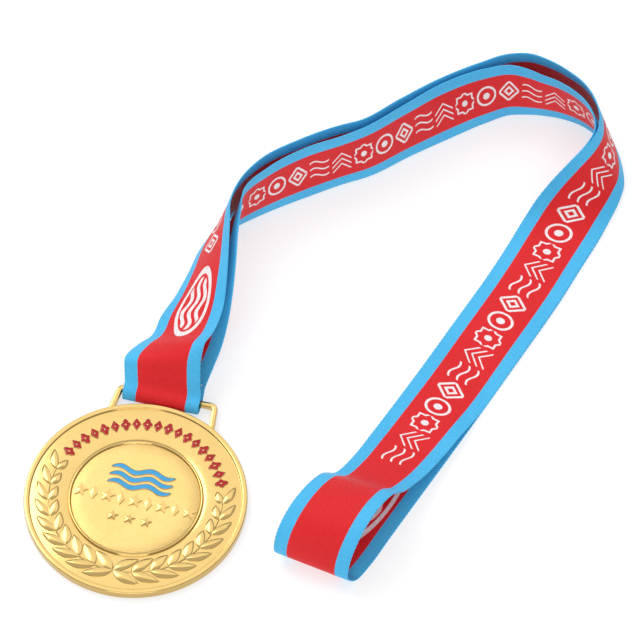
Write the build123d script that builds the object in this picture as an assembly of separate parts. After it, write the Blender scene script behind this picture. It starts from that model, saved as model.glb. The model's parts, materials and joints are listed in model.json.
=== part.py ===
"""Award medal on a neck ribbon, lying face up on a table.

The cast medal is a round disc with a raised rim, a ring, a laurel wreath and a bail.
A closed ribbon passes through the bail and runs out beside it in one long doubled loop.

Frame, in millimetres: the origin is the centre of the disc's flat back, +Z is up out of
the medal's face and +Y points from the disc to its bail.
"""
from build123d import *
from math import atan2, cos, degrees, dist, radians, sin, sqrt
import os

# Disc
DISC_D = 70.0
DISC_T = 3.0
RIM_W = 1.7
FIELD_DROP = 0.55
EDGE_ROUND = 0.35
RING_D = 42.6
RING_W = 1.1
RING_RISE = 0.3

# Bail, a round bar held on two legs
BAR_R = 1.0
BAR_GAP = 3.1
BAR_CLEARANCE = 0.25
SIDE_CLEARANCE = 0.3
CORNER_R = 1.8
LEG_SPLAY = 1.0
LEG_SINK = 1.2

# Laurel wreath; a leaf's reach is how far round the disc it runs, at the foot and at the
# top of a branch
LEAF_PAIRS = 9
LEAF_W = 3.3
LEAF_RISE = 0.4
LEAF_MARGIN = 1.8
OUTER_REACH = (17.0, 12.0)
INNER_REACH = (18.0, 10.0)
INNER_PULL = 3.0
WREATH_FROM = 180.0
WREATH_TO = 81.0
STEM_W = 0.7

# Emblem of three waves, and two rows of raised ornaments under it
WAVE_L = 21.0
WAVE_W = 2.1
WAVE_SWING = 0.8
WAVE_PITCH = 2.8
EMBLEM_Y = 6.9
STAR_ROW_Y = -1.2
STAR_MARGIN = 0.1
STAR_ROW_COUNT = 9
STAR_R = 2.5
SMALL_ROW_Y = -7.9
SMALL_ROW_COUNT = 3
SMALL_ROW_PITCH = 5.4
ORNAMENT_RISE = 0.3

# Legend, a frieze of enamelled ornaments over the wreath
LEGEND_COUNT = 19
LEGEND_SPREAD = 130.0
LEGEND_H = 4.6
LEGEND_W = 3.4
ENAMEL_DEPTH = 0.4
ENAMEL_GAP = 0.02

# Ribbon
RIBBON_W = 25.0
RIBBON_T = 0.5
FLOOR_GAP = 0.05
LAP_GAP = 0.05
SLOT_CLEARANCE = 0.45
OVER_GAP = 0.2
RIBBON_SHIFT = -1.7

# Seam
STITCH_ROWS = (5.1, 7.4)
STITCH_COUNT = 11
STITCH_L = 1.7
STITCH_R = 0.2

# How one run of the ribbon rests on another, thickness and gap together
LAP = RIBBON_T + LAP_GAP
OVER = RIBBON_T + OVER_GAP

# Route of the ribbon. Each row is the middle of the ribbon's width, x and y from the middle
# of the bail's bar, then how far its lower edge is lifted off the floor, the direction that
# the width runs in, seen from above, and how far it rises, in degrees.
SEWN_END = [
    (-2.4, 9.9, 0.0, 0, 0),
    (RIBBON_SHIFT, 1.3, 0.0, 0, 0),
    (RIBBON_SHIFT, -1.7, 0.0, 0, 0),
]

# Places round the bar, in degrees from the side that faces the disc
BAR_WRAP = (-14, 10, 43, 88)

NEAR_STRAP = [
    (-2.6, 3.3, 7.6, 0, 3),
    (-3.3, 7.3, 9.6, 3, 10),
    (-2.2, 12.5, 7.0, -5, 25),
    (-0.2, 19.1, 3.5, -5, 31),
    (0.3, 29.3, 1.4, -2, 33),
    (0.8, 38.9, 0.5, 0, 46),
    (0.8, 47.9, 0.7, -2, 56),
    (0.4, 57.5, 0.7, -4, 65),
    (0.9, 64.4, 0.3, -20, 73),
    (3.6, 72.5, 0.1, -35, 81),
]

# The stretch where both runs of the loop lie side by side: x, y, lift of the outer run,
# direction, rise, and how far inside it the inner run stands.
DOUBLE_RUN = [
    (9.4, 81.1, 0.0, -45, 89, 4.3),
    (20.7, 91.3, 0.0, -49, 94, 3.9),
    (31.6, 99.9, 0.0, -59, 93, 4.3),
    (37.9, 103.3, 0.0, -51, 95, 3.2),
    (49.0, 114.6, 0.0, -41, 98, 2.8),
    (60.2, 125.4, 0.0, -44, 102, 2.2),
    (70.8, 134.9, 0.0, -54, 99, 2.9),
    (78.6, 141.3, 0.0, -68, 94, 4.8),
    (84.7, 143.7, 0.0, -85, 90, 6.4),
    (91.8, 143.7, 0.0, -103, 85, 6.6),
    (99.3, 141.8, 0.0, -115, 81, 5.5),
    (106.6, 138.4, 0.0, -133, 77, 4.6),
    (111.9, 132.9, 0.0, -142, 75, 3.0),
    (115.6, 126.1, 0.2, -150, 72, 1.8),
    (117.0, 120.4, 0.4, -162, 67, 1.1),
    (116.6, 115.3, OVER, -168, 58, 0.8),
    (114.4, 109.9, OVER, -170, 45, 0.5),
    (111.8, 104.7, OVER, -173, 31, 0.3),
    (109.4, 99.7, OVER, -177, 18, 0.1),
    (107.4, 94.2, OVER, -183, 8, 0.0),
    (105.4, 87.9, OVER, -189, 2, 0.0),
    (100.6, 70.1, OVER, -195, 0, 0.0),
    (93.1, 46.1, OVER, -198, 0, 0.0),
    (85.5, 22.3, OVER, -198, 0, 0.0),
]

FAR_FOLD = [
    (81.8, 11.4, OVER, -197, -5),
    (77.9, 0.4, OVER, -196, -8),
    (74.0, -10.2, 1.2, -195, -13),
    (70.7, -18.2, 3.6, -194, -16),
    (67.5, -25.7, 12.9, -192, -11),
    (64.2, -34.7, 16.4, -193, -8),
    (61.4, -43.4, 16.2, -191, -2),
    (59.7, -49.1, 11.3, -189, 1),
    (59.6, -51.1, 5.1, -190, 0),
    (61.4, -48.3, 0.6, -191, 0),
    (64.8, -40.3, 0.0, -197, 0),
    (68.5, -29.0, 0.0, -198, 0),
]

FAR_STRAP = [
    (6.4, 70.3, 0.0, -42, 82),
    (3.8, 63.4, 0.0, -20, 68),
    (2.5, 55.9, 0.2, -8, 58),
    (2.3, 45.9, 0.0, -4, 47),
    (2.0, 36.9, 0.0, -2, 36),
    (1.4, 27.8, 0.0, -2, 24),
    (0.4, 20.5, 0.1, -2, 14),
    (-1.2, 13.7, 0.2, -1, 5),
    (-2.0, 9.5, LAP, 0, 0),
    (-2.4, 3.3, LAP, 0, 0),
]

disc_r = DISC_D / 2
field_z = DISC_T - FIELD_DROP
floor_z = FLOOR_GAP + RIBBON_T / 2
band_r = (RING_D / 2 + disc_r - RIM_W) / 2
star_row_pitch = 2 * (RING_D / 2 - RING_W - STAR_MARGIN - STAR_R) / (STAR_ROW_COUNT - 1)
bar_y = disc_r + BAR_GAP + BAR_R
bar_z = FLOOR_GAP + RIBBON_T + BAR_CLEARANCE + BAR_R
corner_x = RIBBON_W / 2 + abs(RIBBON_SHIFT) + SIDE_CLEARANCE + BAR_R
wrap_r = BAR_R + BAR_GAP - SLOT_CLEARANCE - RIBBON_T / 2


def at_clock(radius, clock):
    """Point on a circle round the disc's centre; clock is in degrees and 0 is at the bail."""
    return Vector(radius * sin(radians(clock)), radius * cos(radians(clock)), 0)


def raised(outline, rise):
    """An outline that stands on the disc's field."""
    return extrude(Pos(0, 0, field_z) * outline, rise)


def make_disc():
    blank = chamfer(Cylinder(disc_r, DISC_T, align=(Align.CENTER, Align.CENTER, Align.MIN))
                    .edges().filter_by(GeomType.CIRCLE), EDGE_ROUND)
    sunk = Pos(0, 0, field_z) * Cylinder(disc_r - RIM_W, DISC_T,
                                         align=(Align.CENTER, Align.CENTER, Align.MIN))
    ring = raised(Circle(RING_D / 2) - Circle(RING_D / 2 - RING_W), RING_RISE)
    return blank - sunk + ring


def make_bail():
    """One bent rod: a leg, the bar across the slot and the other leg, both run into the disc."""
    foot_x = corner_x + LEG_SPLAY
    foot_y = sqrt(disc_r ** 2 - foot_x ** 2) - LEG_SINK
    path = FilletPolyline((-foot_x, foot_y, bar_z), (-corner_x, bar_y, bar_z),
                          (corner_x, bar_y, bar_z), (foot_x, foot_y, bar_z), radius=CORNER_R)
    return sweep(Plane(origin=path @ 0, z_dir=path % 0) * Circle(BAR_R), path)


def make_leaf(root, tip):
    """One leaf of the wreath, laid from its root to its tip."""
    reach = tip - root
    leaf = Rot(0, 0, degrees(atan2(reach.Y, reach.X))) * Ellipse(reach.length / 2, LEAF_W / 2)
    return raised(Pos((root + tip) / 2) * leaf, LEAF_RISE)


def make_wreath():
    """Two branches that meet at the bottom, each a curved stem with pairs of leaves."""
    outer_r = disc_r - RIM_W - LEAF_MARGIN
    inner_r = RING_D / 2 + LEAF_MARGIN * 0.7
    pieces = []
    for side in (-1, 1):
        for pair in range(LEAF_PAIRS):
            up = pair / (LEAF_PAIRS - 1)
            clock = WREATH_FROM + (WREATH_TO - WREATH_FROM) * up
            root = at_clock(band_r, side * clock)
            for radius, (low, high) in ((outer_r, OUTER_REACH), (inner_r + INNER_PULL * up, INNER_REACH)):
                reach = low + (high - low) * up
                pieces.append(make_leaf(root, at_clock(radius, side * (clock - reach))))
    stems = Circle(band_r + STEM_W / 2) - Circle(band_r - STEM_W / 2)
    reach = radians(WREATH_TO)
    far = 2 * disc_r
    above = Polygon((0, 0), (far * sin(reach), far * cos(reach)), (far, far), (-far, far),
                    (-far * sin(reach), far * cos(reach)), align=None)
    return pieces + [raised(stems - above, LEAF_RISE)]


def star(radius):
    tips = [at_clock(radius if n % 2 == 0 else radius * 0.42, 36 * n) for n in range(10)]
    return Polygon(*[(p.X, p.Y) for p in tips], align=None)


def lozenge(width, height):
    return Polygon((0, height / 2), (-width / 2, 0), (0, -height / 2), (width / 2, 0), align=None)


def row_places(count, pitch):
    return [(n - (count - 1) / 2) * pitch for n in range(count)]


def make_ornaments():
    """A row of stars and lozenges, and a short row of small stars below it."""
    pieces = []
    for n, x in enumerate(row_places(STAR_ROW_COUNT, star_row_pitch)):
        shape = star(STAR_R) if n % 2 == 0 else lozenge(STAR_R, 2 * STAR_R)
        pieces.append(raised(Pos(x, STAR_ROW_Y) * shape, ORNAMENT_RISE))
    for x in row_places(SMALL_ROW_COUNT, SMALL_ROW_PITCH):
        pieces.append(raised(Pos(x, SMALL_ROW_Y) * star(STAR_R * 0.8), ORNAMENT_RISE))
    return pieces


def wave(middle_y, inset=0.0):
    """One wavy band of the emblem; inset leaves the gap round its enamel."""
    half = WAVE_L / 2 - inset
    thick = WAVE_W / 2 - inset
    xs = [-half + half * n / 4 for n in range(9)]
    crest = [WAVE_SWING * (1 if n % 4 == 1 else -1 if n % 4 == 3 else 0) for n in range(9)]
    top = Spline(*[(x, middle_y + y + thick) for x, y in zip(xs, crest)])
    low = Spline(*[(x, middle_y + y - thick) for x, y in zip(xs, crest)])
    return make_face([top, low, Line(top @ 0, low @ 0), Line(top @ 1, low @ 1)])


def legend_mark(index, inset=0.0):
    """One ornament of the legend: a four-petal flower, or a lozenge between flowers."""
    half_h = LEGEND_H / 2 - inset
    half_w = LEGEND_W / 2 - inset
    if index % 2:
        mark = lozenge(2 * half_w * 0.9, 2 * half_h)
    else:
        petal = half_w * 0.55
        mark = Ellipse(petal, half_h) + Ellipse(half_w, petal)
    clock = (index / (LEGEND_COUNT - 1) - 0.5) * LEGEND_SPREAD
    return Pos(at_clock(band_r, clock)) * Rot(0, 0, -clock) * mark


def inlay(outline):
    """Solid that fills a pocket cut into the field, flush with it."""
    return extrude(Pos(0, 0, field_z - ENAMEL_DEPTH) * outline, ENAMEL_DEPTH)


def across(turn, rise):
    """Unit vector along the ribbon's width."""
    flat = cos(radians(rise))
    return Vector(flat * cos(radians(turn)), flat * sin(radians(turn)), sin(radians(rise)))


def laid(rows):
    """Stations in the medal's frame: the ribbon's middle, then its direction and rise."""
    return [(x, bar_y + y, floor_z + lift + RIBBON_W / 2 * abs(sin(radians(rise))), turn, rise)
            for x, y, lift, turn, rise in rows]


def ribbon_route():
    """Every station of the ribbon, from one sewn end round the loop to the other."""
    wrap = [(RIBBON_SHIFT, bar_y - wrap_r * cos(radians(place)), bar_z + wrap_r * sin(radians(place)), 0, 0)
            for place in BAR_WRAP]
    outer, inner = [], []
    for x, y, lift, turn, rise, gap in DOUBLE_RUN:
        outer.append((x, y, lift, turn, rise))
        inner.append((x + gap * cos(radians(turn)), y + gap * sin(radians(turn)), 0, turn, rise))
    return (laid(SEWN_END) + wrap
            + laid(NEAR_STRAP + outer + FAR_FOLD + inner[::-1] + FAR_STRAP))


def slope(a, b, c):
    """Rate of change at station b, weighed by how near its neighbours are."""
    ab, bc = dist(a[:3], b[:3]), dist(b[:3], c[:3])
    return [((q - p) / ab * bc + (r - q) / bc * ab) / (ab + bc) for p, q, r in zip(a, b, c)]


def smoothed(stations):
    """The stations, with a new one on a smooth curve half way between each two."""
    last = len(stations) - 1
    slopes = [slope(*stations[n - 1:n + 2]) for n in range(1, last)]
    slopes = [slopes[0]] + slopes + [slopes[-1]]
    route = []
    for n in range(last):
        span = dist(stations[n][:3], stations[n + 1][:3])
        half = [(p + q) / 2 + (s - t) * span / 8
                for p, q, s, t in zip(stations[n], stations[n + 1], slopes[n], slopes[n + 1])]
        route += [stations[n], tuple(half)]
    return route + [stations[last]]


def make_ribbon():
    """Strip of constant width and thickness through the stations, closed with flat facets."""
    route = smoothed(ribbon_route())
    middles = [Vector(*station[:3]) for station in route]
    sections = []
    for n, station in enumerate(route):
        before = middles[max(n - 1, 0)]
        after = middles[min(n + 1, len(route) - 1)]
        wide = across(*station[3:]) * RIBBON_W / 2
        thick = wide.cross(after - before).normalized() * RIBBON_T / 2
        sections.append([middles[n] + wide + thick, middles[n] - wide + thick,
                         middles[n] - wide - thick, middles[n] + wide - thick])
    facets = [sections[0], sections[-1][::-1]]
    for near, far in zip(sections, sections[1:]):
        for a, b in ((0, 1), (3, 2), (1, 2), (0, 3)):
            facets += [[near[a], near[b], far[b]], [near[a], far[b], far[a]]]
    return Solid(Shell([Face(Wire.make_polygon(points)) for points in facets]))


def make_stitches():
    """Two rows of stitches across the lapped ends of the ribbon."""
    top = FLOOR_GAP + RIBBON_T + LAP
    middle_x = FAR_STRAP[-1][0]
    pitch = RIBBON_W / (STITCH_COUNT + 0.5)
    stitches = []
    for y in STITCH_ROWS:
        for x in row_places(STITCH_COUNT, pitch):
            place = Pos(middle_x + x, bar_y + y, top)
            thread = Rot(0, 90, 0) * Cylinder(STITCH_R, STITCH_L)
            above = Pos(0, 0, STITCH_R) * Box(2 * STITCH_L, 4 * STITCH_R, 2 * STITCH_R)
            stitches.append(place * (thread & above))
    return stitches


def main():
    waves = {name: EMBLEM_Y + place * WAVE_PITCH
             for name, place in (("top", 1), ("middle", 0), ("bottom", -1))}
    marks = range(LEGEND_COUNT)
    casting = make_disc() + [make_bail()] + make_wreath() + make_ornaments()
    casting -= [inlay(wave(y)) for y in waves.values()]
    casting -= [inlay(legend_mark(n)) for n in marks]

    nodes = {"medal_casting": casting}
    for name, y in waves.items():
        nodes[f"emblem_wave_{name}"] = inlay(wave(y, ENAMEL_GAP))
    nodes["legend_enamel"] = Compound([inlay(legend_mark(n, ENAMEL_GAP)) for n in marks])
    nodes["ribbon"] = make_ribbon()
    nodes["seam_stitches"] = Compound(make_stitches())

    os.makedirs("parts", exist_ok=True)
    for name, shape in nodes.items():
        export_step(shape, f"parts/{name}.step")


main()
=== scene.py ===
"""Looks of the award medal: a sculpted gilt casting with enamel, on a printed neck ribbon."""
import json
import math

import bpy
import numpy as np
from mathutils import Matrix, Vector


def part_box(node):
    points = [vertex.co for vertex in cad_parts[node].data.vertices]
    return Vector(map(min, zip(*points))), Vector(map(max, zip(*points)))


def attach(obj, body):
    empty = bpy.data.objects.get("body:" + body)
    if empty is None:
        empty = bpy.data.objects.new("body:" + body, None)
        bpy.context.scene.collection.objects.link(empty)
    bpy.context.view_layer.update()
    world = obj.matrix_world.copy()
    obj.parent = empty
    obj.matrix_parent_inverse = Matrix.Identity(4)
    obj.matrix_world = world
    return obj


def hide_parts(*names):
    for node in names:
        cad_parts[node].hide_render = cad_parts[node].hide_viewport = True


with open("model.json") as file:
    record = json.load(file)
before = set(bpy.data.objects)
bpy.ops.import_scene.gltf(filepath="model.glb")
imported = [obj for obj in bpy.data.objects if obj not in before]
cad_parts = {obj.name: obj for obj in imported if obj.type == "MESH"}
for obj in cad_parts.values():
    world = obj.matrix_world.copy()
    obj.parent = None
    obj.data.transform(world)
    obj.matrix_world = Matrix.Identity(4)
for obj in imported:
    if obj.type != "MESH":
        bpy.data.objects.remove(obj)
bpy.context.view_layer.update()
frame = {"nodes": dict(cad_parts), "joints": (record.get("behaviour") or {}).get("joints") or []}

MM = 0.001
MEDAL_BODY = "medal_body"
RIBBON_BODY = "ribbon_body"

# ---------------------------------------------------------------- sizes, in millimetres
disc_hi = Vector(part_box("medal_casting")[1]) / MM
DISC_R = disc_hi.x
DISC_T = disc_hi.z
BAR_Y, BAR_Z = [value / MM for value in frame["joints"][0]["pos_m"][1:]]
BAR_HALF = disc_hi.y - BAR_Y

RIM_W = 1.7
FIELD_DROP = 0.55
FIELD_Z = DISC_T - FIELD_DROP
FIELD_CROWN = 0.18
FIELD_MARGIN = 0.3
EDGE_ROUND = 0.35
RIM_ROUND = 0.3
RIM_FILLET = 0.16
RING_R = 21.3
RING_W = 1.1
RING_GROOVE = 0.10
BAND_R = (RING_R + DISC_R - RIM_W) / 2
CORNER_X = 15.5
CORNER_R = 1.8
LEG_SPLAY = 1.0
LEG_SINK = 1.2

LEAF_PAIRS = 9
LEAF_W = 3.3
LEAF_RISE = 0.52
LEAF_MARGIN = 1.8
OUTER_REACH = (17.0, 12.0)
INNER_REACH = (18.0, 10.0)
INNER_PULL = 3.0
OUTER_BOW = 0.35
INNER_BOW = -0.3
LEAF_TAPER = 0.22
WREATH_FROM = 180.0
WREATH_TO = 81.0
STEM_HALF = 0.38
STEM_RISE = 0.3
STEM_TAPER = 0.6
STEM_SHORT = 3.0

WAVE_L = 21.0
WAVE_W = 2.1
WAVE_SWING = 0.8
STAR_ROW_Y = -1.2
STAR_ROW_PITCH = 4.4
STAR_ROW_COUNT = 9
STAR_R = 2.5
STAR_WAIST = 0.42
STAR_EDGE = 0.28
SMALL_ROW_Y = -7.9
SMALL_ROW_PITCH = 5.4
SMALL_ROW_COUNT = 3
SMALL_STAR_R = 0.8 * STAR_R
STAR_RISE = 0.54

LEGEND_COUNT = 19
LEGEND_SPREAD = 130.0
LEGEND_H = 4.6
LEGEND_W = 3.4
LOZENGE_SHARE = 0.9
PETAL_SHARE = 0.6

ENAMEL_RISE = 0.1
ENAMEL_SINK = 0.35
ENAMEL_DOME = 0.06
CLOISON_W = 0.26
CLOISON_RISE = 0.24

# How far the foot of a sharp or a rounded relief lies under the field.
SHARP_SINK = 0.1
ROUND_SINK = 0.05

RIBBON_W = 25.0
RIBBON_T = 0.5
BORDER_W = 4.4
SCALLOP = 0.12
FLOOR_GAP = 0.05
RIBBON_SHIFT = -1.7
WRAP_R = 3.4
LAP_GAP = 0.05
LAP = RIBBON_T + LAP_GAP
OVER_GAP = 0.2
OVER = RIBBON_T + OVER_GAP
ROUTE_STEP = 0.75
THREAD_PITCH = 0.62
INNER_FACE = 100.0

# Stretches of the ribbon's length that carry the print, from its first sewn end.
OUTER_PRINT = (154.0, 388.0)
INNER_PRINT = (632.0, 772.4)
SMALL_PRINT = (74.0, 89.6)
BADGE_PLACE = 55.0
INNER_BADGES = (128.0, 481.0)
PRINT_CELL = 7.8
PRINT_H = 9.4
BADGE = (29.0, 12.5)
FOLD_BADGE = (40.0, 14.0)


# ---------------------------------------------------------------- mesh helpers
def at_clock(radius, clock, z=0.0):
    """Point on a circle round the disc's centre; clock is in degrees and 0 is at the bail."""
    return np.array([radius * math.sin(math.radians(clock)), radius * math.cos(math.radians(clock)), z])


def field_at(radius):
    """Height of the disc's field, which is gently crowned between the ring and the rim."""
    off = abs(radius - BAND_R) / (DISC_R - RIM_W - BAND_R)
    return FIELD_Z + FIELD_CROWN * max(0.0, 1 - off ** 2)


def on_field(spot, rise):
    """A place in the plane, lifted to a height over the field."""
    return np.array([spot[0], spot[1], field_at(math.hypot(spot[0], spot[1])) + rise])


class Mesh:
    """Collects points in millimetres and faces, and becomes one object."""

    def __init__(self):
        self.points = []
        self.faces = []

    def add(self, points, faces):
        start = len(self.points)
        self.points.extend(points)
        self.faces.extend([start + n for n in face] for face in faces)

    def grid(self, rows, wrap_rows=False, wrap_columns=False):
        """Quads through rows of points."""
        count, width = len(rows), len(rows[0])
        faces = []
        for r in range(count if wrap_rows else count - 1):
            for c in range(width if wrap_columns else width - 1):
                r2, c2 = (r + 1) % count, (c + 1) % width
                faces.append([r * width + c, r * width + c2, r2 * width + c2, r2 * width + c])
        self.add([p for row in rows for p in row], faces)

    def fan(self, ring, middle):
        """Triangles from a closed ring of points to one point."""
        count = len(ring)
        self.add(list(ring) + [middle], [[n, (n + 1) % count, count] for n in range(count)])

    def build(self, name, material, sharp=32.0):
        data = bpy.data.meshes.new(name)
        data.from_pydata([tuple(float(v) * MM for v in p) for p in self.points], [], self.faces)
        data.validate()
        data.shade_smooth()
        data.set_sharp_from_angle(angle=math.radians(sharp))
        data.materials.append(material)
        piece = bpy.data.objects.new(name, data)
        bpy.context.scene.collection.objects.link(piece)
        return piece


# ---------------------------------------------------------------- node helpers
class Value:
    """A number that varies over the surface, worked out with Math nodes."""

    def __init__(self, tree, socket):
        self.tree = tree
        self.socket = socket

    def op(self, kind, *others, clamp=False):
        node = self.tree.nodes.new("ShaderNodeMath")
        node.operation = kind
        node.use_clamp = clamp
        for slot, value in zip(node.inputs, (self, *others)):
            if isinstance(value, Value):
                self.tree.links.new(value.socket, slot)
            else:
                slot.default_value = value
        return Value(self.tree, node.outputs[0])

    def __add__(self, other):
        return self.op("ADD", other)

    def __sub__(self, other):
        return self.op("SUBTRACT", other)

    def __mul__(self, other):
        return self.op("MULTIPLY", other)

    def __truediv__(self, other):
        return self.op("DIVIDE", other)

    def __abs__(self):
        return self.op("ABSOLUTE")

    def low(self, other):
        return self.op("MINIMUM", other)

    def high(self, other):
        return self.op("MAXIMUM", other)

    def under(self, limit, soft):
        """1 where the value is under the limit, 0 where it is over, with a soft edge."""
        return ((self - limit) * (-1 / soft)).op("ADD", 0.5, clamp=True)

    def root(self):
        return self.op("SQRT")


def new_material(name):
    material = bpy.data.materials.new(name)
    material.use_nodes = True
    tree = material.node_tree
    return material, tree, tree.nodes["Principled BSDF"]


def mix_colour(tree, share, low, high):
    """Colour between two, each an RGB tuple or a colour socket."""
    node = tree.nodes.new("ShaderNodeMix")
    node.data_type = "RGBA"
    tree.links.new(share.socket, node.inputs["Factor"])
    for slot, colour in ((node.inputs[6], low), (node.inputs[7], high)):
        if isinstance(colour, tuple):
            slot.default_value = (*colour, 1)
        else:
            tree.links.new(colour, slot)
    return node.outputs[2]


def object_place(tree):
    """Object coordinates in millimetres, as three values."""
    where = tree.nodes.new("ShaderNodeTexCoord")
    split = tree.nodes.new("ShaderNodeSeparateXYZ")
    tree.links.new(where.outputs["Object"], split.inputs[0])
    return [Value(tree, socket) / MM for socket in split.outputs], where.outputs["Object"]


def noise(tree, place, scale, detail=3.0):
    node = tree.nodes.new("ShaderNodeTexNoise")
    node.inputs["Scale"].default_value = scale
    node.inputs["Detail"].default_value = detail
    tree.links.new(place, node.inputs["Vector"])
    return Value(tree, node.outputs["Fac"])


def bump(tree, shader, height, depth_mm):
    """Relief of the given depth, where height runs from 0 to 1."""
    node = tree.nodes.new("ShaderNodeBump")
    node.inputs["Distance"].default_value = depth_mm * MM
    tree.links.new(height.socket, node.inputs["Height"])
    tree.links.new(node.outputs["Normal"], shader.inputs["Normal"])


# ---------------------------------------------------------------- materials
# Each surface runs between a darker and a lighter linear colour.
GOLD = ((0.61, 0.42, 0.145), (0.68, 0.48, 0.18))
ENAMEL_BLUE = ((0.030, 0.300, 0.600), (0.060, 0.400, 0.720))
ENAMEL_RED = ((0.34, 0.003, 0.005), (0.50, 0.006, 0.010))
THREAD = ((0.58, 0.66, 0.72), (0.86, 0.90, 0.93))
RIBBON_RED = ((0.68, 0.012, 0.015), (0.77, 0.019, 0.024))
RIBBON_BLUE = ((0.060, 0.450, 0.790), (0.085, 0.530, 0.880))
INK = (0.90, 0.88, 0.88)


def gold_material():
    """Bright gilding: nearly smooth outside the ring, sandblasted inside it."""
    material, tree, shader = new_material("gilt_metal")
    (x, y, z), place = object_place(tree)
    radius = (x * x + y * y).root()
    field = radius.under(RING_R - RING_W, 0.3) * (z - (FIELD_Z - 0.1)).under(0.2, 0.02)
    grain = noise(tree, place, 3200, 2.0)
    ripple = noise(tree, place, 140, 2.0)
    wear = noise(tree, place, 420, 4.0)
    shader.inputs["Metallic"].default_value = 1.0
    rough = field * 0.18 + wear * 0.08 + 0.08
    tree.links.new(rough.socket, shader.inputs["Roughness"])
    tone = mix_colour(tree, ripple, *GOLD)
    tree.links.new(tone, shader.inputs["Base Color"])
    relief = grain * (field * 2.2 + 0.06) + ripple * 0.35
    bump(tree, shader, relief, 0.05)
    return material


def enamel_material(name, low, high):
    material, tree, shader = new_material(name)
    _, place = object_place(tree)
    cloud = noise(tree, place, 260, 3.0)
    tree.links.new(mix_colour(tree, cloud, low, high), shader.inputs["Base Color"])
    tree.links.new((cloud * 0.12 + 0.12).socket, shader.inputs["Roughness"])
    shader.inputs["Specular IOR Level"].default_value = 0.3
    bump(tree, shader, noise(tree, place, 700, 2.0), 0.015)
    return material


def thread_material():
    material, tree, shader = new_material("seam_thread")
    (x, y, _), place = object_place(tree)
    ply = ((x * 1.6 + y) * 9.0).op("SINE") * 0.5 + 0.5
    tone = mix_colour(tree, ply, *THREAD)
    tree.links.new(tone, shader.inputs["Base Color"])
    tree.links.new((noise(tree, place, 900) * 0.2 + 0.55).socket, shader.inputs["Roughness"])
    bump(tree, shader, ply, 0.08)
    return material


def stroke(distance, width=0.7):
    """A printed line of the given width where the distance is zero."""
    return abs(distance).under(width / 2, 0.16)


def print_row(along, across, cell, height):
    """Row of outlined ornaments, in turn a diamond, two rings, a star, chevrons and waves."""
    step = (along / cell).op("FLOOR")
    kind = step.op("FLOORED_MODULO", 5.0)
    a = along - (step + 0.5) * cell
    size_a, size_b = abs(a), abs(across)
    wide, tall = cell * 0.43, height / 2
    inside = size_a.under(wide, 0.15) * size_b.under(tall, 0.15)
    to_diamond = (size_a / wide + size_b / tall - 1) * (wide * 0.75)
    diamond = stroke(to_diamond).high(stroke(to_diamond + 1.5))
    reach = (a * a + across * across * 0.6).root()
    rings = stroke(reach - wide * 0.92).high(reach.under(wide * 0.34, 0.2))
    square = (size_a * 1.25).high(size_b)
    star = stroke(square.low((size_a * 1.25 + size_b) * 0.707) - tall * 0.72)
    star = star.high(reach.under(wide * 0.3, 0.2))
    peak = across + size_a * 1.1
    swing = (a * (2 * math.pi / cell)).op("SINE") * 0.9
    chevrons, waves = None, None
    for place in (-0.25, 0.3, 0.85):
        chevron = stroke(peak - tall * place)
        chevrons = chevron if chevrons is None else chevrons.high(chevron)
    for place in (-0.7, 0.0, 0.7):
        wave = stroke(across - swing - tall * place)
        waves = wave if waves is None else waves.high(wave)
    total = None
    for n, motif in enumerate((diamond, rings, star, chevrons, waves)):
        chosen = motif * abs(kind - float(n)).under(0.5, 0.1)
        total = chosen if total is None else total.high(chosen)
    return total * inside


def print_emblem(along, across, length, height):
    """Large badge: an oval band round three waves."""
    a = along / (length / 2)
    b = across / (height / 2)
    oval = (a * a + b * b).root()
    band = abs(oval - 0.9).under(0.09, 0.03)
    swing = (along * (2 * math.pi / (length * 0.36))).op("SINE") * (height * 0.07)
    waves = None
    for lift in (-0.23, 0.0, 0.23):
        line = stroke(across - swing - height * lift, height * 0.12)
        waves = line if waves is None else waves.high(line)
    return band.high(waves * oval.under(0.72, 0.04))


def between(value, low, high):
    return value.under(high, 0.05) * (value * -1.0).under(-low, 0.05)


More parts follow.
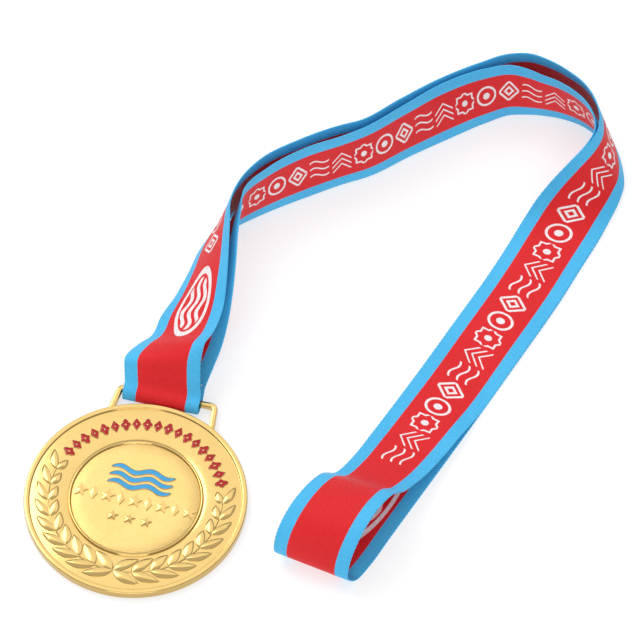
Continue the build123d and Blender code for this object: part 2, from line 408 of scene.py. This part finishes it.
def ribbon_material(places):
    """Satin ribbon, woven diagonally, red between two blue borders, with a white print.

    The UV map holds millimetres: across the ribbon from its middle, and along it. The inner
    face has INNER_FACE added to its place across."""
    material, tree, shader = new_material("ribbon_fabric")
    uv = tree.nodes.new("ShaderNodeUVMap")
    uv.uv_map = "cloth"
    split = tree.nodes.new("ShaderNodeSeparateXYZ")
    tree.links.new(uv.outputs[0], split.inputs[0])
    raw, along = Value(tree, split.outputs[0]), Value(tree, split.outputs[1])
    inner = (raw * -1.0).under(-INNER_FACE / 2, 1.0)
    across = raw - inner * INNER_FACE
    outer = inner * -1.0 + 1.0

    _, place = object_place(tree)
    fray = noise(tree, place, 1500, 2.0) - 0.5
    centre = (abs(across) + fray * 0.12).under(RIBBON_W / 2 - BORDER_W, 0.18)
    wash = noise(tree, place, 60, 3.0)
    red = mix_colour(tree, wash, *RIBBON_RED)
    blue = mix_colour(tree, wash, *RIBBON_BLUE)
    ground = mix_colour(tree, centre, blue, red)

    ink = None
    for low, high in places["rows"]:
        row = print_row(along - low, across, PRINT_CELL, PRINT_H)
        row = row * between(along, low, high) * outer
        ink = row if ink is None else ink.high(row)
    for middle, length, height in places["outer_badges"]:
        ink = ink.high(print_emblem(along - middle, across, length, height) * outer)
    for middle, length, height in places["inner_badges"]:
        ink = ink.high(print_emblem(along - middle, across, length, height) * inner)
    printed = mix_colour(tree, ink * (fray * 0.5 + 0.93), ground, INK)

    pitch = 2 * math.pi / THREAD_PITCH
    twill = ((along * 0.80 + across * 0.60) * pitch).op("SINE") * 0.5 + 0.5
    pick = ((along * 0.60 - across * 0.80) * (pitch * 1.9)).op("SINE") * 0.5 + 0.5
    weave = twill * 0.7 + pick * 0.3
    shade = tree.nodes.new("ShaderNodeHueSaturation")
    tree.links.new(printed, shade.inputs["Color"])
    tree.links.new((weave * 0.16 + fray * 0.25 + 0.92).socket, shade.inputs["Value"])
    tree.links.new(shade.outputs[0], shader.inputs["Base Color"])
    tree.links.new((weave * -0.12 + 0.62).socket, shader.inputs["Roughness"])
    shader.inputs["Sheen Weight"].default_value = 0.08
    shader.inputs["Sheen Roughness"].default_value = 0.4
    shader.inputs["Specular IOR Level"].default_value = 0.22
    edge = abs(abs(across) - (RIBBON_W / 2 - 0.5)).under(0.12, 0.2)
    bump(tree, shader, weave * 0.8 + edge * -0.5 + fray * 0.3, 0.09)
    return material


def floor_material():
    material, _, shader = new_material("studio_floor")
    shader.inputs["Base Color"].default_value = (0.45, 0.45, 0.45, 1)
    shader.inputs["Roughness"].default_value = 0.9
    shader.inputs["Specular IOR Level"].default_value = 0.1
    shader.inputs["Emission Color"].default_value = (1.0, 1.0, 1.0, 1)
    shader.inputs["Emission Strength"].default_value = 0.6
    return material


# ---------------------------------------------------------------- medal
def arc(centre, radius, start, end, steps):
    """Points (r, z) on an arc, angles in degrees from the r axis."""
    angles = [math.radians(start + (end - start) * n / steps) for n in range(steps + 1)]
    return [(centre[0] + radius * math.cos(t), centre[1] + radius * math.sin(t)) for t in angles]


def disc_profile():
    """Half section of the disc, from the middle of its back round the edge to its face."""
    rim_in = DISC_R - RIM_W
    low, high = FIELD_Z, DISC_T
    profile = [(0.01, 0.0), (8.0, 0.0), (20.0, 0.0), (30.0, 0.0)]
    profile += arc((DISC_R - EDGE_ROUND, EDGE_ROUND), EDGE_ROUND, -90, 0, 4)
    profile += arc((DISC_R - EDGE_ROUND, high - EDGE_ROUND), EDGE_ROUND, 0, 90, 5)
    profile += arc((rim_in + RIM_ROUND, high - RIM_ROUND), RIM_ROUND, 90, 180, 4)
    profile += arc((rim_in - RIM_FILLET, low + RIM_FILLET), RIM_FILLET, 0, -90, 3)
    start, end = rim_in - FIELD_MARGIN, RING_R + FIELD_MARGIN
    radii = [start + (end - start) * n / 16 for n in range(17)]
    profile += [(r, field_at(r)) for r in radii]
    profile += [(RING_R + 0.02, low - RING_GROOVE), (RING_R - 0.08, low)]
    profile += arc((RING_R - RING_W / 2, low), RING_W / 2 - 0.1, 20, 160, 8)
    profile += [(RING_R - RING_W - 0.02, low - RING_GROOVE), (RING_R - RING_W - FIELD_MARGIN, low)]
    profile += [(16.0, low), (10.0, low), (4.0, low), (0.01, low)]
    return profile


def add_disc(mesh):
    turns = 240
    profile = disc_profile()
    rows = [[np.array([r * math.cos(t), r * math.sin(t), z])
             for t in (2 * math.pi * n / turns for n in range(turns))] for r, z in profile]
    mesh.grid(rows, wrap_columns=True)


def add_bail(mesh):
    """A rounded flat bar bent into the slot's frame, its feet sunk in the disc's edge."""
    foot_x = CORNER_X + LEG_SPLAY
    foot_y = math.sqrt(DISC_R ** 2 - foot_x ** 2) - LEG_SINK
    foot = np.array([foot_x, foot_y])
    corner = np.array([CORNER_X, BAR_Y])
    down = (foot - corner) / np.linalg.norm(foot - corner)
    turn = math.acos(float(np.dot(down, [-1.0, 0.0])))
    tangent = CORNER_R / math.tan(turn / 2)
    curve = [foot, foot * 0.5 + (corner + down * tangent) * 0.5]
    start, end = corner + down * tangent, corner + np.array([-tangent, 0.0])
    for n in range(13):
        s = n / 12
        curve.append((1 - s) ** 2 * start + 2 * s * (1 - s) * corner + s ** 2 * end)
    half = curve + [np.array([x, BAR_Y]) for x in (8.0, 4.0, 0.0)]
    path = half + [p * np.array([-1, 1]) for p in half[-2::-1]]
    rows = []
    for n, p in enumerate(path):
        ahead = path[min(n + 1, len(path) - 1)] - path[max(n - 1, 0)]
        side = np.array([ahead[1], -ahead[0]]) / np.linalg.norm(ahead)
        ring = []
        for k in range(20):
            t = 2 * math.pi * (k + 0.5) / 20
            c, s = math.cos(t), math.sin(t)
            reach = BAR_HALF / (abs(c) ** 4 + abs(s) ** 4) ** 0.25
            flat = p + side * c * reach * 0.98
            ring.append(np.array([flat[0], flat[1], BAR_Z + s * reach * 0.98]))
        rows.append(ring)
    mesh.grid(rows, wrap_columns=True)
    for ring in (rows[0], rows[-1]):
        mesh.fan(ring, sum(ring) / len(ring))


def add_leaf(mesh, root, tip, width, bow):
    """A pointed blade with a ridge along its middle, bowed a little to one side."""
    reach = tip - root
    length = float(np.linalg.norm(reach))
    along = reach / length
    across = np.array([-along[1], along[0], 0.0])
    rows = []
    steps, ribs = 16, 5
    for n in range(steps + 1):
        t = n / steps
        half = width / 2 * math.sin(math.pi * t ** 0.85) ** 0.75 + 0.02
        height = LEAF_RISE * min(1.0, (math.sin(math.pi * t) + 0.04) ** 0.45)
        middle = root + reach * t + across * bow * math.sin(math.pi * t)
        row = [on_field(middle - across * half * 1.04, -SHARP_SINK)]
        for k in range(-ribs, ribs + 1):
            v = k / ribs
            lift = height * (0.36 + 0.64 * (1 - abs(v) ** 1.3)) if abs(v) < 1 else height * 0.3
            row.append(on_field(middle + across * half * v, lift))
        row.append(on_field(middle + across * half * 1.04, -SHARP_SINK))
        rows.append(row)
    mesh.grid(rows)


def add_stem(mesh, side):
    """Rounded stem of one arm, which thins towards its end."""
    rows = []
    for n in range(61):
        up = n / 60
        clock = WREATH_FROM + (WREATH_TO - STEM_SHORT - WREATH_FROM) * up
        thick = STEM_HALF * (1 - STEM_TAPER * up)
        row = []
        for k in range(7):
            t = math.pi * k / 6
            spot = at_clock(BAND_R + thick * math.cos(t), side * clock)
            row.append(on_field(spot, STEM_RISE * math.sin(t) - ROUND_SINK))
        rows.append(row)
    mesh.grid(rows)


def add_wreath(mesh):
    """Two arms of leaf pairs, which shrink from the foot of the disc upwards."""
    outer_r = DISC_R - RIM_W - LEAF_MARGIN
    inner_r = RING_R + LEAF_MARGIN * 0.7
    for side in (-1, 1):
        for pair in range(LEAF_PAIRS):
            up = pair / (LEAF_PAIRS - 1)
            clock = WREATH_FROM + (WREATH_TO - WREATH_FROM) * up
            root = at_clock(BAND_R, side * clock)
            blades = ((outer_r, OUTER_REACH, OUTER_BOW),
                      (inner_r + INNER_PULL * up, INNER_REACH, INNER_BOW))
            for radius, reach, bow in blades:
                span = reach[0] + (reach[1] - reach[0]) * up
                tip = at_clock(radius, side * (clock - span))
                add_leaf(mesh, root, tip, LEAF_W * (1 - LEAF_TAPER * up), -side * bow)
        add_stem(mesh, side)


def add_star(mesh, x, y, radius):
    """Faceted five-pointed star."""
    low, high = [], []
    for n in range(10):
        reach = radius if n % 2 == 0 else radius * STAR_WAIST
        spot = at_clock(reach, 36 * n) + np.array([x, y, 0])
        low.append(spot + np.array([0, 0, FIELD_Z - SHARP_SINK]))
        high.append(spot + np.array([0, 0, FIELD_Z + STAR_EDGE]))
    mesh.grid([low, high], wrap_columns=True)
    mesh.fan(high, np.array([x, y, FIELD_Z + STAR_RISE]))


def add_lozenge(mesh, x, y, width, height):
    """Faceted lozenge with a low cap."""
    spots = [(0, height / 2), (-width / 2, 0), (0, -height / 2), (width / 2, 0)]
    rings = []
    for share, z in ((1.0, -SHARP_SINK), (1.0, STAR_EDGE), (0.3, STAR_RISE - 0.04)):
        rings.append([np.array([x + a * share, y + b * share, FIELD_Z + z]) for a, b in spots])
    mesh.grid(rings, wrap_columns=True)
    mesh.fan(rings[-1], np.array([x, y, FIELD_Z + STAR_RISE]))


def row_places(count, pitch):
    return [(n - (count - 1) / 2) * pitch for n in range(count)]


def add_ornaments(mesh):
    for n, x in enumerate(row_places(STAR_ROW_COUNT, STAR_ROW_PITCH)):
        if n % 2 == 0:
            add_star(mesh, x, STAR_ROW_Y, STAR_R)
        else:
            add_lozenge(mesh, x, STAR_ROW_Y, STAR_R, 2 * STAR_R)
    for x in row_places(SMALL_ROW_COUNT, SMALL_ROW_PITCH):
        add_star(mesh, x, SMALL_ROW_Y, SMALL_STAR_R)


def outward(outline):
    """Unit normals of a closed outline in the plane, pointing outwards."""
    count = len(outline)
    area = sum(outline[n][0] * outline[(n + 1) % count][1] - outline[(n + 1) % count][0] * outline[n][1]
               for n in range(count))
    normals = []
    for n in range(count):
        ahead = outline[(n + 1) % count] - outline[n - 1]
        normal = np.array([ahead[1], -ahead[0]]) * (1 if area > 0 else -1)
        normals.append(normal / max(np.linalg.norm(normal), 1e-9))
    return normals


def add_cloison(mesh, outline):
    """Raised rounded gold line round an enamelled shape."""
    normals = outward(outline)
    rows = []
    for p, n in zip(outline, normals):
        row = []
        for k in range(6):
            t = math.pi * k / 5
            flat = p + n * (CLOISON_W / 2 - CLOISON_W / 2 * math.cos(t))
            row.append(on_field(flat, (CLOISON_RISE + ROUND_SINK) * math.sin(t) - ROUND_SINK))
        rows.append(row)
    mesh.grid(rows, wrap_rows=True)


def add_enamel(mesh, outline):
    """Domed fill of a closed outline."""
    middle = sum(outline) / len(outline)
    levels = ((1.0, -ENAMEL_SINK), (1.0, ENAMEL_RISE), (0.8, ENAMEL_RISE + 0.04),
              (0.4, ENAMEL_RISE + ENAMEL_DOME))
    rings = []
    for share, z in levels:
        rings.append([on_field(middle + (p - middle) * share, z) for p in outline])
    mesh.grid(rings, wrap_columns=True)
    mesh.fan(rings[-1], on_field(middle, ENAMEL_RISE + ENAMEL_DOME))


def add_stud(mesh, outline):
    """Small gold boss of the outline's own shape, in the middle of its enamel."""
    middle = sum(outline) / len(outline)
    rings = []
    for share, rise in ((0.24, 0.0), (0.22, ENAMEL_RISE + 0.1), (0.12, ENAMEL_RISE + 0.16)):
        rings.append([on_field(middle + (p - middle) * share, rise) for p in outline])
    mesh.grid(rings, wrap_columns=True)
    mesh.fan(rings[-1], on_field(middle, ENAMEL_RISE + 0.18))


def wave_edges(middle_y):
    """Upper and lower edge of one wave of the emblem, which narrows at its ends."""
    steps = 72
    upper, lower = [], []
    for n in range(steps + 1):
        s = -1 + 2 * n / steps
        half = (WAVE_W / 2 - CLOISON_W) * (1 - abs(s) ** 5) ** 0.6 + 0.01
        y = middle_y + WAVE_SWING * math.sin(2 * math.pi * (s + 1))
        x = s * (WAVE_L / 2 - CLOISON_W)
        upper.append(np.array([x, y + half]))
        lower.append(np.array([x, y - half]))
    return upper, lower


def add_wave(mesh, middle_y):
    """Enamel of one wave, as strips across it."""
    upper, lower = wave_edges(middle_y)
    rows = []
    for top, bottom in zip(upper, lower):
        row = [np.array([*top, FIELD_Z - ENAMEL_SINK])]
        for k in range(7):
            share = k / 6
            z = ENAMEL_RISE + ENAMEL_DOME * math.sin(math.pi * share)
            row.append(np.array([*(top * (1 - share) + bottom * share), FIELD_Z + z]))
        row.append(np.array([*bottom, FIELD_Z - ENAMEL_SINK]))
        rows.append(row)
    mesh.grid(rows)


def legend_outline(index):
    """One ornament of the legend: a four-petal flower, or a lozenge between flowers."""
    clock = (index / (LEGEND_COUNT - 1) - 0.5) * LEGEND_SPREAD
    half_h, half_w = LEGEND_H / 2 - CLOISON_W, LEGEND_W / 2 - CLOISON_W
    turn = math.radians(-clock)
    centre = at_clock(BAND_R, clock)[:2]
    outline = []
    count = 48
    for n in range(count):
        t = 2 * math.pi * n / count
        c, s = abs(math.cos(t)), abs(math.sin(t))
        if index % 2:
            reach = 1 / (c / (half_w * LOZENGE_SHARE) + s / half_h)
        else:
            petal = half_w * PETAL_SHARE
            reach = max(1 / math.hypot(c / petal, s / half_h), 1 / math.hypot(c / half_w, s / petal))
        x, y = reach * math.cos(t), reach * math.sin(t)
        outline.append(centre + np.array([x * math.cos(turn) - y * math.sin(turn),
                                          x * math.sin(turn) + y * math.cos(turn)]))
    return outline


def make_medal():
    gold = gold_material()
    blue = enamel_material("blue_enamel", *ENAMEL_BLUE)
    red = enamel_material("red_enamel", *ENAMEL_RED)
    casting = Mesh()
    add_disc(casting)
    add_bail(casting)
    add_wreath(casting)
    add_ornaments(casting)

    made = []
    for name in ("top", "middle", "bottom"):
        node = f"emblem_wave_{name}"
        low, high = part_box(node)
        middle_y = (low[1] + high[1]) / 2 / MM
        upper, lower = wave_edges(middle_y)
        add_cloison(casting, upper + lower[::-1])
        enamel = Mesh()
        add_wave(enamel, middle_y)
        made.append((enamel.build(f"blue_wave_{name}", blue), node, "blue_enamel"))
    legend = Mesh()
    for index in range(LEGEND_COUNT):
        outline = legend_outline(index)
        add_cloison(casting, outline)
        add_enamel(legend, outline)
        add_stud(casting, outline)
    made.append((legend.build("red_legend", red), "legend_enamel", "red_enamel"))
    made.append((casting.build("gilt_casting", gold), "medal_casting", "gilt_metal"))
    for piece, node, slot in made:
        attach(piece, MEDAL_BODY)
        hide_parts(node)
    return made[-1][0]


# ---------------------------------------------------------------- ribbon
# Rows of the route: the middle of the ribbon's width, x and y from the middle of the bail's
# bar, the lift of its lower edge off the floor, the direction of its width and its rise.
SEWN_END = [
    (-2.4, 9.9, 0.0, 0, 0), (RIBBON_SHIFT, 1.3, 0.0, 0, 0), (RIBBON_SHIFT, -1.7, 0.0, 0, 0),
]
BAR_WRAP = (-14, 10, 43, 88)
NEAR_STRAP = [
    (-2.6, 3.3, 7.6, 0, 3), (-3.3, 7.3, 9.6, 3, 10), (-2.2, 12.5, 7.0, -5, 25),
    (-0.2, 19.1, 3.5, -5, 31), (0.3, 29.3, 1.4, -2, 33), (0.8, 38.9, 0.5, 0, 46),
    (0.8, 47.9, 0.7, -2, 56), (0.4, 57.5, 0.7, -4, 65), (0.9, 64.4, 0.3, -20, 73),
    (3.6, 72.5, 0.1, -35, 81),
]
# Here the rows end with how far inside the outer run the inner run stands.
DOUBLE_RUN = [
    (9.4, 81.1, 0.0, -45, 89, 4.3), (20.7, 91.3, 0.0, -49, 94, 3.9),
    (31.6, 99.9, 0.0, -59, 93, 4.3), (37.9, 103.3, 0.0, -51, 95, 3.2),
    (49.0, 114.6, 0.0, -41, 98, 2.8), (60.2, 125.4, 0.0, -44, 102, 2.2),
    (70.8, 134.9, 0.0, -54, 99, 2.9), (78.6, 141.3, 0.0, -68, 94, 4.8),
    (84.7, 143.7, 0.0, -85, 90, 6.4), (91.8, 143.7, 0.0, -103, 85, 6.6),
    (99.3, 141.8, 0.0, -115, 81, 5.5), (106.6, 138.4, 0.0, -133, 77, 4.6),
    (111.9, 132.9, 0.0, -142, 75, 3.0), (115.6, 126.1, 0.2, -150, 72, 1.8),
    (117.0, 120.4, 0.4, -162, 67, 1.1), (116.6, 115.3, OVER, -168, 58, 0.8),
    (114.4, 109.9, OVER, -170, 45, 0.5), (111.8, 104.7, OVER, -173, 31, 0.3),
    (109.4, 99.7, OVER, -177, 18, 0.1), (107.4, 94.2, OVER, -183, 8, 0.0),
    (105.4, 87.9, OVER, -189, 2, 0.0), (100.6, 70.1, OVER, -195, 0, 0.0),
    (93.1, 46.1, OVER, -198, 0, 0.0), (85.5, 22.3, OVER, -198, 0, 0.0),
]
FAR_FOLD = [
    (81.8, 11.4, OVER, -197, -5), (77.9, 0.4, OVER, -196, -8), (74.0, -10.2, 1.2, -195, -13),
    (70.7, -18.2, 3.6, -194, -16), (67.5, -25.7, 12.9, -192, -11), (64.2, -34.7, 16.4, -193, -8),
    (61.4, -43.4, 16.2, -191, -2), (59.7, -49.1, 11.3, -189, 1), (59.6, -51.1, 5.1, -190, 0),
    (61.4, -48.3, 0.6, -191, 0), (64.8, -40.3, 0.0, -197, 0), (68.5, -29.0, 0.0, -198, 0),
]
FAR_STRAP = [
    (6.4, 70.3, 0.0, -42, 82), (3.8, 63.4, 0.0, -20, 68), (2.5, 55.9, 0.2, -8, 58),
    (2.3, 45.9, 0.0, -4, 47), (2.0, 36.9, 0.0, -2, 36), (1.4, 27.8, 0.0, -2, 24),
    (0.4, 20.5, 0.1, -2, 14), (-1.2, 13.7, 0.2, -1, 5), (-2.0, 9.5, LAP, 0, 0),
    (-2.4, 3.3, LAP, 0, 0),
]


def laid(rows):
    """Stations: the ribbon's middle, then its direction and rise."""
    floor_z = FLOOR_GAP + RIBBON_T / 2
    return [(x, BAR_Y + y, floor_z + lift + RIBBON_W / 2 * abs(math.sin(math.radians(rise))), turn, rise)
            for x, y, lift, turn, rise in rows]


def ribbon_route():
    """Every station of the ribbon, from one sewn end round the loop to the other."""
    wrap = []
    for place in BAR_WRAP:
        t = math.radians(place)
        wrap.append((RIBBON_SHIFT, BAR_Y - WRAP_R * math.cos(t), BAR_Z + WRAP_R * math.sin(t), 0, 0))
    outer, inner = [], []
    for x, y, lift, turn, rise, gap in DOUBLE_RUN:
        t = math.radians(turn)
        outer.append((x, y, lift, turn, rise))
        inner.append((x + gap * math.cos(t), y + gap * math.sin(t), 0, turn, rise))
    rows = laid(SEWN_END) + wrap + laid(NEAR_STRAP + outer + FAR_FOLD + inner[::-1] + FAR_STRAP)
    return np.array(rows, float)


def smooth_line(stations, step):
    """Points every step or less along a smooth curve through the stations."""
    spans = np.linalg.norm(np.diff(stations[:, :3], axis=0), axis=1)
    rates = np.diff(stations, axis=0) / spans[:, None]
    slopes = np.empty_like(stations)
    before, after = spans[:-1, None], spans[1:, None]
    slopes[1:-1] = (rates[:-1] * after + rates[1:] * before) / (before + after)
    slopes[0], slopes[-1] = slopes[1], slopes[-2]
    line = []
    for n, span in enumerate(spans):
        count = max(2, math.ceil(span / step))
        for k in range(count):
            t = k / count
            line.append((2 * t ** 3 - 3 * t ** 2 + 1) * stations[n]
                        + (t ** 3 - 2 * t ** 2 + t) * span * slopes[n]
                        + (3 * t ** 2 - 2 * t ** 3) * stations[n + 1]
                        + (t ** 3 - t ** 2) * span * slopes[n + 1])
    line.append(stations[-1])
    return np.array(line)


def ribbon_frames(line):
    """Middle, width direction and face normal of every section, and the length up to it."""
    middles = line[:, :3]
    turn, rise = np.radians(line[:, 3]), np.radians(line[:, 4])
    wide = np.stack([np.cos(rise) * np.cos(turn), np.cos(rise) * np.sin(turn), np.sin(rise)], 1)
    ahead = np.gradient(middles, axis=0)
    normal = np.cross(wide, ahead)
    normal /= np.linalg.norm(normal, axis=1)[:, None]
    along = np.concatenate([[0], np.cumsum(np.linalg.norm(np.diff(middles, axis=0), axis=1))])
    return middles, wide, normal, along


# Places across the ribbon as shares of half its width, and half the thickness there.
SECTION = [
    (-1.0, 0.10), (-0.992, 0.19), (-0.975, 0.25), (-0.955, 0.22), (-0.85, 0.25), (-0.65, 0.25),
    (-0.4, 0.25), (-0.15, 0.25), (0.15, 0.25), (0.4, 0.25), (0.65, 0.25), (0.85, 0.25),
    (0.955, 0.22), (0.975, 0.25), (0.992, 0.19), (1.0, 0.10),
]


def ribbon_surface():
    """Points of the ribbon, each one's place on the flat cloth, its faces and its length."""
    line = smooth_line(ribbon_route(), ROUTE_STEP)
    middles, wide, normal, along = ribbon_frames(line)
    width = len(SECTION)
    points, uvs = [], []
    for index, (middle, w, n, s) in enumerate(zip(middles, wide, normal, along)):
        half = RIBBON_W / 2 - SCALLOP * (index % 2)
        for share, thick in SECTION:
            points.append(middle + w * half * share + n * thick)
            uvs.append((half * share, s))
        for share, thick in reversed(SECTION):
            points.append(middle + w * half * share - n * thick)
            uvs.append((INNER_FACE + half * share, s))
    ring = 2 * width
    faces = []
    for r in range(len(middles) - 1):
        for c in range(ring):
            c2 = (c + 1) % ring
            faces.append([r * ring + c, r * ring + c2, (r + 1) * ring + c2, (r + 1) * ring + c])
    for start in (0, (len(middles) - 1) * ring):
        for c in range(width - 1):
            faces.append([start + c, start + c + 1, start + ring - 2 - c, start + ring - 1 - c])
    return points, uvs, faces, float(along[-1])


def lay_cloth_map(data, uvs):
    """The UV map of the ribbon; a face on the selvedge takes the outer face's places."""
    layer = data.uv_layers.new(name="cloth")
    for polygon in data.polygons:
        corners = [data.loops[i].vertex_index for i in polygon.loop_indices]
        outer_face = any(uvs[v][0] < INNER_FACE / 2 for v in corners)
        for i, v in zip(polygon.loop_indices, corners):
            u, s = uvs[v]
            layer.data[i].uv = (u - INNER_FACE if outer_face and u > INNER_FACE / 2 else u, s)


def make_ribbon():
    points, uvs, faces, total = ribbon_surface()
    mesh = Mesh()
    mesh.add(points, faces)
    places = {
        "rows": [OUTER_PRINT, INNER_PRINT, SMALL_PRINT],
        "outer_badges": [(BADGE_PLACE, *BADGE), (total - BADGE_PLACE, *BADGE)],
        "inner_badges": [(INNER_BADGES[0], *BADGE), (INNER_BADGES[1], *FOLD_BADGE)],
    }
    piece = mesh.build("neck_ribbon", ribbon_material(places), sharp=80.0)
    lay_cloth_map(piece.data, uvs)
    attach(piece, RIBBON_BODY)
    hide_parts("ribbon")
    total * MM


def dress_stitches():
    node = frame["nodes"]["seam_stitches"]
    thread = thread_material()
    node.data.materials.clear()
    node.data.materials.append(thread)


# ---------------------------------------------------------------- studio
FLOOR_REACH = 2500.0
SKY_LOW = (0.24, 0.24, 0.25, 1)
SKY_HIGH = (0.76, 0.76, 0.78, 1)
LIGHT_AIM = Vector((0.04, 0.08, 0.0))
# Name, place and size in metres, and power in watts.
LIGHTS = (
    ("softbox_back", (-0.25, 1.05, 1.35), 1.8, 7.6),
    ("key_left", (-0.9, 0.6, 1.25), 0.9, 7.5),
    ("fill_front", (0.3, -1.6, 0.9), 1.2, 9.5),
)

# The viewing angle, in degrees round from straight on and above the table, and the lens.
CAMERA_AZIMUTH = 14.0
CAMERA_ELEVATION = 56.0
CAMERA_DISTANCE = 1.528
CAMERA_TARGET = Vector((0.0393, 0.0807, 0.0))
CAMERA_LENS = 267.6
CAMERA_SENSOR = 36.0


def make_studio():
    floor_mesh = Mesh()
    corners = ((-1, -1), (1, -1), (1, 1), (-1, 1))
    floor_mesh.add([np.array([x * FLOOR_REACH, y * FLOOR_REACH, 0.0]) for x, y in corners],
                   [[0, 1, 2, 3]])
    floor = floor_mesh.build("studio_floor", floor_material())

    world = bpy.data.worlds.new("studio")
    world.use_nodes = True
    nodes, links = world.node_tree.nodes, world.node_tree.links
    where = nodes.new("ShaderNodeTexCoord")
    split = nodes.new("ShaderNodeSeparateXYZ")
    ramp = nodes.new("ShaderNodeValToRGB")
    ramp.color_ramp.elements[0].color = SKY_LOW
    ramp.color_ramp.elements[1].color = SKY_HIGH
    ramp.color_ramp.elements[1].position = 0.8
    links.new(where.outputs["Generated"], split.inputs[0])
    links.new(split.outputs["Z"], ramp.inputs["Fac"])
    links.new(ramp.outputs["Color"], nodes["Background"].inputs["Color"])
    bpy.context.scene.world = world
    bpy.context.scene.view_settings.view_transform = "Standard"

    for name, place, size, power in LIGHTS:
        data = bpy.data.lights.new(name, "AREA")
        data.size = size
        data.energy = power
        light = bpy.data.objects.new(name, data)
        light.location = place
        aim = LIGHT_AIM - Vector(place)
        light.rotation_euler = aim.to_track_quat("-Z", "Y").to_euler()
        bpy.context.scene.collection.objects.link(light)


def make_camera():
    azimuth, elevation = math.radians(CAMERA_AZIMUTH), math.radians(CAMERA_ELEVATION)
    back = Vector((math.sin(azimuth) * math.cos(elevation), -math.cos(azimuth) * math.cos(elevation),
                   math.sin(elevation)))
    data = bpy.data.cameras.new("camera")
    data.sensor_width = CAMERA_SENSOR
    data.lens = CAMERA_LENS
    camera = bpy.data.objects.new("camera", data)
    camera.location = CAMERA_TARGET + back * CAMERA_DISTANCE
    camera.rotation_euler = (-back).to_track_quat("-Z", "Y").to_euler()
    bpy.context.scene.collection.objects.link(camera)
    bpy.context.scene.camera = camera


make_camera()
make_studio()
gilt_casting = make_medal()
make_ribbon()
dress_stitches()
